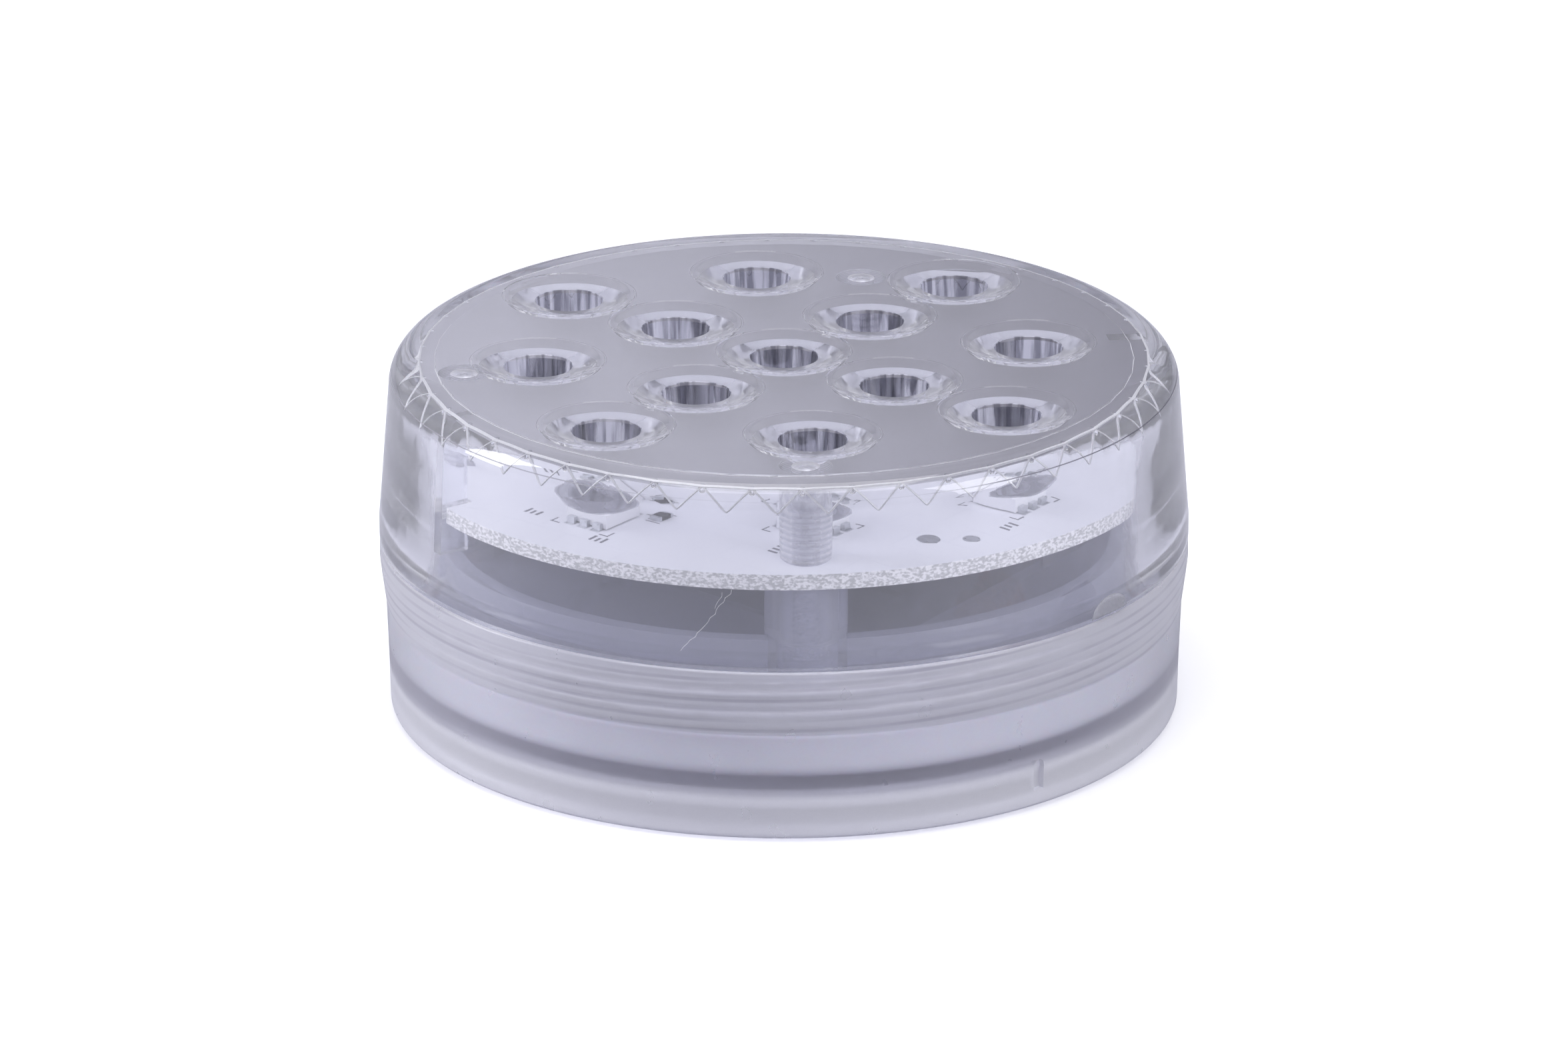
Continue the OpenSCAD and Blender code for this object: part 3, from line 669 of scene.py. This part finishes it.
class Shader(Nodes):
    """A node material round one principled shader. Textures run in millimetres."""

    def __init__(self, name):
        self.material = bpy.data.materials.new(name)
        self.material.use_nodes = True
        super().__init__(self.material.node_tree)
        self.bsdf = self.tree.nodes["Principled BSDF"]
        self.output = self.tree.nodes["Material Output"]
        self.place = self.scaled(self.node("TexCoord").outputs["Object"], 1 / MM)

    def set(self, **values):
        """Plain values for the principled shader's inputs, under shorter names."""
        names = {"color": "Base Color", "metal": "Metallic", "rough": "Roughness", "ior": "IOR",
                 "clear": "Transmission Weight", "coat": "Coat Weight", "coat_rough": "Coat Roughness",
                 "under": "Subsurface Weight", "under_scale": "Subsurface Scale"}
        for key, value in values.items():
            if key == "color":
                value = (*value, 1)
            self.bsdf.inputs[names[key]].default_value = value
        return self

    def stretched(self, scale):
        node = self.node("VectorMath", operation="MULTIPLY")
        node.inputs[1].default_value = scale
        self.join(self.place, node.inputs[0])
        return node.outputs[0]

    def noise(self, scale, detail=3, stretch=(1, 1, 1), contrast=0.5):
        node = self.node("TexNoise")
        node.inputs["Scale"].default_value = scale
        node.inputs["Detail"].default_value = detail
        node.inputs["Roughness"].default_value = contrast
        self.join(self.stretched(stretch), node.inputs["Vector"])
        return node.outputs["Fac"]

    def bump(self, height, strength, depth):
        """Adds a bump of the given depth in millimetres on top of any earlier one."""
        node = self.node("Bump")
        node.inputs["Strength"].default_value = strength
        node.inputs["Distance"].default_value = depth * MM
        self.join(height, node.inputs["Height"])
        earlier = self.bsdf.inputs["Normal"]
        if earlier.is_linked:
            self.join(earlier.links[0].from_socket, node.inputs["Normal"])
        self.join(node.outputs["Normal"], earlier)

    def height(self):
        return self.split(self.place)["Z"]

    def radius(self):
        flat = self.node("VectorMath", operation="LENGTH")
        self.join(self.stretched((1, 1, 0)), flat.inputs[0])
        return flat.outputs["Value"]

    def within(self, value, middle, reach):
        """One where a value lies within reach of the middle, zero elsewhere."""
        return self.math("COMPARE", value, middle, reach)

    def thread_wave(self, spacing):
        """Fine dark lines of painted shade that climb with the thread, broken up so that no two look alike.
        """
        axes = self.split(self.place)
        angle = self.math("ARCTAN2", axes["Y"], axes["X"])
        climb = self.math("MULTIPLY_ADD", angle, -LEAD / TURN, axes["Z"])
        wave = self.sine(climb, spacing)
        breaks = self.spread(self.noise(0.25, 3, (0.25, 0.25, 3)), 0.1, 1, 0.35, 0.62)
        return self.math("MULTIPLY", self.spread(wave, 0, 1, 0.2, 0.9), breaks)

    def sine(self, value, spacing):
        return self.math("SINE", self.math("MULTIPLY", value, TURN / spacing))

    def aslant(self, oblique, square):
        """One where a surface is seen at a slant, almost nothing where it is seen square on."""
        geometry = self.node("NewGeometry").outputs
        facing = self.dot(geometry["Incoming"], geometry["Normal"])
        return self.spread(self.math("ABSOLUTE", facing), 1, 0.08, oblique, square)

    def light_passes(self, tint, share=1.0):
        """Lets light rays go straight through, so that what is behind is lit softly."""
        path = self.node("LightPath")
        through = self.node("BsdfTransparent")
        through.inputs["Color"].default_value = (*tint, 1)
        mix = self.node("MixShader")
        self.join(self.math("MULTIPLY", path.outputs["Is Shadow Ray"], share), mix.inputs[0])
        self.join(self.bsdf.outputs[0], mix.inputs[1])
        self.join(through.outputs[0], mix.inputs[2])
        self.join(mix.outputs[0], self.output.inputs["Surface"])


STYRENE_IOR = 1.53
STYRENE_TINT = (0.88, 0.88, 0.92)


def clear_plastic():
    """Polished polystyrene with flow waves, haze and fine scratches, satin under the flat top. Painted shade
    tints the bowls under the plate grey, and the satin's grey, seen at a slant, is painted shade that turns
    lighter towards the lit side.
    """
    s = Shader("clear_plastic").set(ior=STYRENE_IOR)
    haze = s.noise(0.12, 4)
    scratch = s.noise(1.4, 2, (6, 0.15, 0.5))
    height, radius = s.height(), s.radius()
    prism_belt = s.math("MULTIPLY", s.within(height, PLATE_Z - 0.17, 0.25), s.within(radius, 36.1, 0.85))
    satin = s.math("MAXIMUM", s.within(height, PLATE_Z, 0.05), prism_belt)
    satin = s.math("MULTIPLY", satin, s.aslant(0.84, 0.95))
    # Painted shade: the bowls and dome under the top plate are tinted grey.
    under_plate_shade = s.math("MULTIPLY", s.spread(radius, 1, 0, WINDOW_R - 0.3, WINDOW_R - 0.2),
                    s.spread(height, 1, 0, TOP_Z - 0.8, TOP_Z - 0.65))
    # Painted light and shade: the satin grey runs from dark on the far side to light on the lit side.
    across = s.spread(s.dot(s.place, TO_LIT_SIDE), 0, 1, -40, 40)
    satin_painted_shade = s.blend(across, (0.12, 0.115, 0.15), (0.43, 0.425, 0.48))
    body = s.blend(under_plate_shade, (0.93, 0.935, 0.97), (0.62, 0.62, 0.67))
    s.join(s.blend(satin, body, satin_painted_shade), s.bsdf.inputs["Base Color"])
    rough = s.math("MAXIMUM", s.spread(haze, 0.01, 0.05), s.spread(scratch, 0, 0.09, 0.7, 0.76))
    s.join(s.math("MAXIMUM", rough, s.spread(satin, 0, 0.55, 0, 1)), s.bsdf.inputs["Roughness"])
    s.join(s.spread(satin, 0.94, 0.5, 0, 1), s.bsdf.inputs["Transmission Weight"])
    s.bump(s.noise(0.16, 2), 0.25, 0.1)
    s.bump(scratch, 0.05, 0.02)
    s.light_passes(STYRENE_TINT)
    return s.material


def drawn_plastic_painted_shade():
    """Walls of the collimators' wells, streaked up and down where the mould cores drew out; the dark end of
    the streak tone is painted shade deep in the wells.
    """
    s = Shader("drawn_plastic_painted_shade").set(clear=1, ior=STYRENE_IOR)
    streaks = s.noise(1.3, 3, (1, 1, 0.04))
    # Painted shade: the dark end of this streak tone darkens the wells.
    tone = s.blend(s.spread(streaks, 0, 1, 0.42, 0.58), (0.16, 0.16, 0.19), (0.90, 0.90, 0.94))
    s.join(tone, s.bsdf.inputs["Base Color"])
    s.join(s.spread(streaks, 0.02, 0.15), s.bsdf.inputs["Roughness"])
    s.bump(streaks, 0.5, 0.1)
    s.light_passes(STYRENE_TINT)
    return s.material


def post_plastic():
    """Screw posts: pale, with fine level ridges from the thread cut inside them."""
    s = Shader("post_plastic").set(clear=0.75, ior=STYRENE_IOR)
    level = s.sine(s.height(), 0.62)
    tone = s.blend(s.spread(level, 0, 1, -0.8, 0.8), (0.66, 0.66, 0.71), (0.98, 0.98, 1.0))
    s.join(tone, s.bsdf.inputs["Base Color"])
    s.join(s.spread(s.noise(1.5, 3), 0.08, 0.2), s.bsdf.inputs["Roughness"])
    s.bump(level, 0.4, 0.08)
    s.light_passes(STYRENE_TINT)
    return s.material


# White for the painted highlights on the prism edges, and the scratch's own white for the hair scratch.
def prism_edge_white():
    s = Shader("prism_edge_white").set(clear=0.4, ior=1.5)
    s.join(s.blend(s.noise(2, 3), (0.80, 0.80, 0.84), (0.95, 0.95, 0.97)), s.bsdf.inputs["Base Color"])
    s.join(s.spread(s.noise(3, 3), 0.35, 0.6), s.bsdf.inputs["Roughness"])
    s.bump(s.noise(5, 3), 0.3, 0.02)
    return s.material


def frosted_plastic():
    """Clear moulding with a fine etched skin, milkier where the wall meets the thick floor; painted shade
    darkens a band low on the wall and draws the thread inside as dark lines on the skin.
    """
    s = Shader("frosted_plastic").set(ior=1.5)
    grain = s.blend(s.noise(4, 2), (0.90, 0.90, 0.935), (0.97, 0.97, 1.0))
    height = s.height()
    shaded = s.math("SUBTRACT", s.spread(height, 0, 0.8, 4.6, 5.6), s.spread(height, 0, 0.8, 6.9, 7.4))
    # Painted shade: dark lines where the thread inside shows through the skin.
    painted_crest_shade = s.math("MULTIPLY", s.thread_wave(PITCH / 2), s.spread(height, 0, 1, 10.9, 11.6))
    grain_and_crest_shade = s.blend(painted_crest_shade, grain, (0.66, 0.65, 0.70))
    s.join(s.blend(shaded, grain_and_crest_shade, (0.62, 0.61, 0.67)), s.bsdf.inputs["Base Color"])
    s.join(s.spread(s.noise(0.3, 4), 0.27, 0.34), s.bsdf.inputs["Roughness"])
    milky = s.math("SUBTRACT", s.spread(height, 0.5, 0.9, 4.2, 5.0), s.spread(height, 0, 0.16, 10.6, 12.0))
    s.join(milky, s.bsdf.inputs["Transmission Weight"])
    s.bump(s.noise(0.2, 2), 0.2, 0.1)
    s.light_passes((0.72, 0.72, 0.78))
    return s.material


def silicone():
    s = Shader("silicone").set(color=(0.7, 0.7, 0.75), rough=0.4, under=0.3, under_scale=0.002)
    s.join(s.blend(s.noise(0.3, 4), (0.66, 0.665, 0.71), (0.74, 0.745, 0.79)), s.bsdf.inputs["Base Color"])
    s.join(s.spread(s.noise(0.8, 3), 0.35, 0.5), s.bsdf.inputs["Roughness"])
    s.bump(s.noise(3, 3), 0.2, 0.02)
    return s.material


def board_white():
    """White solder resist over faint tracks, with grey-tan glass fibre at the cut edge."""
    s = Shader("board_white").set(rough=0.35)
    tracks = s.node("TexBrick")
    for key, value in (("Scale", 0.12), ("Mortar Size", 0.012), ("Brick Width", 0.9), ("Row Height", 0.5)):
        tracks.inputs[key].default_value = value
    s.join(s.stretched((1, 1, 0)), tracks.inputs["Vector"])
    resist = s.blend(s.spread(tracks.outputs["Fac"], 0, 0.5, 0, 1), (0.74, 0.745, 0.78), (0.67, 0.675, 0.72))
    resist = s.blend(s.spread(s.noise(0.08, 3), 0, 0.35), resist, (0.69, 0.69, 0.73))
    strands = s.spread(s.noise(2.4, 4, (1, 1, 1.6)), 0, 1, 0.42, 0.58)
    fibre = s.blend(strands, (0.55, 0.55, 0.55), (1.0, 0.99, 0.98))
    flat = s.math("ABSOLUTE", s.split(s.node("NewGeometry").outputs["Normal"])["Z"])
    s.join(s.blend(s.spread(flat, 0, 1, 0.4, 0.6), fibre, resist), s.bsdf.inputs["Base Color"])
    s.join(s.spread(s.noise(2, 3), 0.3, 0.45), s.bsdf.inputs["Roughness"])
    s.bump(tracks.outputs["Fac"], 0.3, 0.03)
    s.bump(s.noise(3, 3), 0.15, 0.03)
    return s.material


def tray_plastic():
    s = Shader("tray_plastic").set(color=(0.62, 0.63, 0.74), clear=0.7, ior=1.5)
    s.join(s.spread(s.noise(0.25, 4), 0.08, 0.22), s.bsdf.inputs["Roughness"])
    s.bump(s.noise(0.4, 3), 0.3, 0.1)
    s.light_passes((0.4, 0.4, 0.48), 0.8)
    return s.material


def metal(name, low, high, rough=0.3, stretch=(1, 1, 1), scale=2.0):
    """Metal with brushed or mottled variation between two tones."""
    s = Shader(name).set(metal=1)
    grain = s.noise(scale, 4, stretch)
    s.join(s.blend(grain, low, high), s.bsdf.inputs["Base Color"])
    s.join(s.spread(grain, rough * 0.7, rough * 1.4), s.bsdf.inputs["Roughness"])
    s.bump(grain, 0.2, 0.02)
    return s.material


def moulded(name, low, high, rough=0.5, scale=4.0, grain_depth=0.03):
    """Opaque moulded or ceramic part with fine grain and tone variation."""
    s = Shader(name)
    grain = s.noise(scale, 4)
    s.join(s.blend(grain, low, high), s.bsdf.inputs["Base Color"])
    s.join(s.spread(grain, rough * 0.8, rough * 1.2), s.bsdf.inputs["Roughness"])
    s.bump(grain, 0.3, grain_depth)
    return s.material


def led_resin():
    s = Shader("led_resin").set(clear=0.9, ior=1.5, rough=0.06)
    s.join(s.blend(s.noise(1.5, 3), (0.80, 0.81, 0.84), (0.90, 0.90, 0.92)), s.bsdf.inputs["Base Color"])
    s.bump(s.noise(1.0, 2), 0.2, 0.03)
    s.light_passes((0.9, 0.9, 0.9))
    return s.material


def gate_scar():
    s = Shader("gate_scar").set(color=(0.86, 0.86, 0.9), clear=0.8, ior=1.5)
    s.join(s.spread(s.noise(3, 5), 0.3, 0.7), s.bsdf.inputs["Roughness"])
    s.bump(s.noise(4, 5), 0.8, 0.15)
    return s.material


def floor_material():
    """Pale floor: white to the camera, and a soft grey to what reflects it."""
    s = Shader("floor").set(rough=0.6)
    path = s.node("LightPath")
    speckle = s.blend(s.noise(0.01, 3), (0.90, 0.90, 0.91), (0.93, 0.93, 0.94))
    s.join(s.blend(path.outputs["Is Camera Ray"], (0.55, 0.55, 0.62), speckle), s.bsdf.inputs["Base Color"])
    glow = s.spread(path.outputs["Is Camera Ray"], 0, 0.2, 0, 1)
    s.bsdf.inputs["Emission Color"].default_value = (1, 1, 1, 1)
    s.join(glow, s.bsdf.inputs["Emission Strength"])
    return s.material


# ---- Pieces on their bodies ----------------------------------------------

def place(piece, body, slot, material, *nodes):
    piece.data.materials.clear()
    piece.data.materials.append(material)
    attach(piece, body)
    if nodes:
        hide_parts(*nodes)
    return piece


def look_by_place(lens, well_look, post_look):
    """Second and third materials for the walls of the wells and the sides of the screw posts."""
    lens.data.materials.append(well_look)
    lens.data.materials.append(post_look)
    posts = [centre(screw).xy for screw in SCREWS]
    wells = [spot.xy for spot in LED_PLACES]

    def near(middle, spots, reach):
        return any((middle.xy - spot).length < reach for spot in spots)

    for face in lens.data.polygons:
        middle = face.center / MM
        if WELL_FLOOR_Z < middle.z < TOP_Z - 0.6 and near(middle, wells, WELL_R + 0.1):
            face.material_index = 1
        elif middle.z < PLATE_Z and near(middle, posts, POST_R + 0.2):
            face.material_index = 2


def repaint(looks):
    """Gives each shown CAD node the material made for its slot in the record."""
    slots = {part["node"]: part["material_slot"] for part in frame["record"]["subparts"]}
    for node, piece in frame["nodes"].items():
        piece.data.materials.clear()
        piece.data.materials.append(looks[slots[node]])


LOOKS = {
    "frosted_plastic": frosted_plastic(),
    "silicone": silicone(),
    "clear_plastic": clear_plastic(),
    "board_white": board_white(),
    "led_white": moulded("led_white", (0.80, 0.80, 0.82), (0.88, 0.88, 0.90), 0.4),
    "die_gold": metal("die_gold", (0.55, 0.50, 0.25), (0.80, 0.74, 0.45), 0.3, scale=6),
    "led_resin": led_resin(),
    "tinned_metal": metal("tinned_metal", (0.50, 0.51, 0.53), (0.78, 0.79, 0.82), 0.35),
    "chip_black": moulded("chip_black", (0.012, 0.012, 0.014), (0.04, 0.04, 0.045), 0.45),
    "chip_tan": moulded("chip_tan", (0.50, 0.24, 0.09), (0.66, 0.36, 0.16), 0.4),
    "can_steel": metal("can_steel", (0.52, 0.53, 0.55), (0.72, 0.73, 0.76), 0.25, (1, 8, 8)),
    "cell_can": metal("cell_can", (0.50, 0.51, 0.53), (0.70, 0.71, 0.74), 0.3, (1, 8, 8)),
    "copper_wire": metal("copper_wire", (0.55, 0.22, 0.09), (0.78, 0.38, 0.18), 0.25),
    "tray_plastic": tray_plastic(),
    "screw_steel": metal("screw_steel", (0.55, 0.55, 0.58), (0.82, 0.82, 0.86), 0.3),
    "contact_nickel": metal("contact_nickel", (0.55, 0.53, 0.48), (0.78, 0.76, 0.70), 0.28, (1, 6, 1)),
    "spring_steel": metal("spring_steel", (0.45, 0.45, 0.44), (0.75, 0.75, 0.74), 0.25),
    "wire_red": moulded("wire_red", (0.42, 0.015, 0.012), (0.58, 0.03, 0.02), 0.35, 1.5),
    "wire_black": moulded("wire_black", (0.01, 0.01, 0.012), (0.03, 0.03, 0.035), 0.35, 1.5),
    "cell_wrap": moulded("cell_wrap", (0.05, 0.055, 0.075), (0.09, 0.095, 0.12), 0.3, 0.6),
    "washer_white": moulded("washer_white", (0.70, 0.69, 0.65), (0.82, 0.81, 0.78), 0.8, 3),
}

repaint(LOOKS)
lens = place(lens_shell(), "head", "clear_plastic", LOOKS["clear_plastic"], "lens_cover")
look_by_place(lens, drawn_plastic_painted_shade(), post_plastic())
place(cover_shell(), "base", "frosted_plastic", LOOKS["frosted_plastic"], "base_cover")
place(thread_screws(), "head", "screw_steel", LOOKS["screw_steel"], "tray_screws")
place(board_pads(), "head", "tinned_metal", LOOKS["tinned_metal"])
place(board_print(), "head", "chip_black", moulded("print_ink", (0.10, 0.10, 0.12), (0.2, 0.2, 0.22), 0.6))
place(gate_mark(), "head", "clear_plastic", gate_scar())
place(prism_edge_highlights(), "head", "clear_plastic", prism_edge_white())
place(hair_scratch(), "head", "clear_plastic", prism_edge_white())


# ---- Studio --------------------------------------------------------------

def floor():
    """Square sheet just under the base, five metres across."""
    bm = bmesh.new()
    half = 2500
    bm.faces.new([bm.verts.new((x * half, y * half, 0)) for x, y in ((-1, -1), (1, -1), (1, 1), (-1, 1))])
    sheet = finish_mesh(bm, "floor")
    sheet.location.z = -0.2 * MM
    sheet.data.materials.append(floor_material())


def softbox(name, spot, size, power, tint=(1, 1, 1)):
    data = bpy.data.lights.new(name, "AREA")
    data.shape = "RECTANGLE"
    data.size, data.size_y = size
    data.energy = power
    data.color = tint
    lamp = bpy.data.objects.new(name, data)
    lamp.location = spot
    lamp.rotation_mode = "QUATERNION"
    lamp.rotation_quaternion = (-Vector(spot)).to_track_quat("-Z", "Y")
    bpy.context.scene.collection.objects.link(lamp)


def studio_world():
    """White to the camera; a grey-lavender room, darker low down, to everything that reflects it."""
    world = bpy.data.worlds.new("studio")
    world.use_nodes = True
    w = Nodes(world.node_tree)
    direction = w.node("TexCoord").outputs["Generated"]
    room = w.node("ValToRGB")
    levels = room.color_ramp.elements
    stops = ((0.0, 0.42), (0.46, 0.46), (0.60, 0.48), (0.80, 0.52), (1.0, 0.60))
    levels[0].position = stops[0][0]
    levels[1].position = stops[-1][0]
    for position, _ in stops[1:-1]:
        levels.new(position)
    for element, (_, level) in zip(levels, stops):
        element.color = (level * 0.95, level * 0.95, level * 1.06, 1)
    w.join(w.spread(w.split(direction)["Z"], 0, 1, -1, 1), room.inputs["Fac"])

    patches = w.node("TexNoise")
    patches.inputs["Scale"].default_value = 2.2
    patches.inputs["Detail"].default_value = 1
    w.join(direction, patches.inputs["Vector"])
    cards = w.spread(patches.outputs["Fac"], 0.6, 1.3, 0.38, 0.62)
    brighter_side = w.math("MULTIPLY_ADD", w.dot(direction, TO_LIT_SIDE), 0.12, 1)
    lit = w.scaled(w.scaled(room.outputs["Color"], cards), brighter_side)
    seen = w.blend(w.node("LightPath").outputs["Is Camera Ray"], lit, (1, 1, 1))
    w.join(seen, w.tree.nodes["Background"].inputs["Color"])
    bpy.context.scene.world = world


def camera():
    """The photograph's viewing direction: 38.5 degrees round from -Y and 20.3 degrees up."""
    azimuth, elevation = math.radians(38.5), math.radians(20.3)
    back = Vector((math.sin(azimuth) * math.cos(elevation), -math.cos(azimuth) * math.cos(elevation),
                   math.sin(elevation)))
    low, high = cad_bounds
    middle = (low + high) / 2
    data = bpy.data.cameras.new("camera")
    data.lens = 210
    view = bpy.data.objects.new("camera", data)
    view.location = middle + back * 0.93
    view.rotation_mode = "QUATERNION"
    view.rotation_quaternion = (-back).to_track_quat("-Z", "Y")
    bpy.context.scene.collection.objects.link(view)
    bpy.context.scene.camera = view


floor()
studio_world()
softbox("top_softbox", (0.1, -0.1, 0.9), (0.7, 0.7), 4)
softbox("left_softbox", (-0.7, -0.5, 0.35), (0.25, 0.6), 4)
softbox("right_softbox", (0.8, 0.1, 0.4), (0.3, 0.6), 2.5)
camera()

scene = bpy.context.scene
scene.view_settings.view_transform = "Standard"
scene.cycles.max_bounces = 24
scene.cycles.transmission_bounces = 20
scene.cycles.transparent_max_bounces = 24
scene.cycles.glossy_bounces = 8
scene.cycles.diffuse_bounces = 4
scene.cycles.sample_clamp_indirect = 1.5
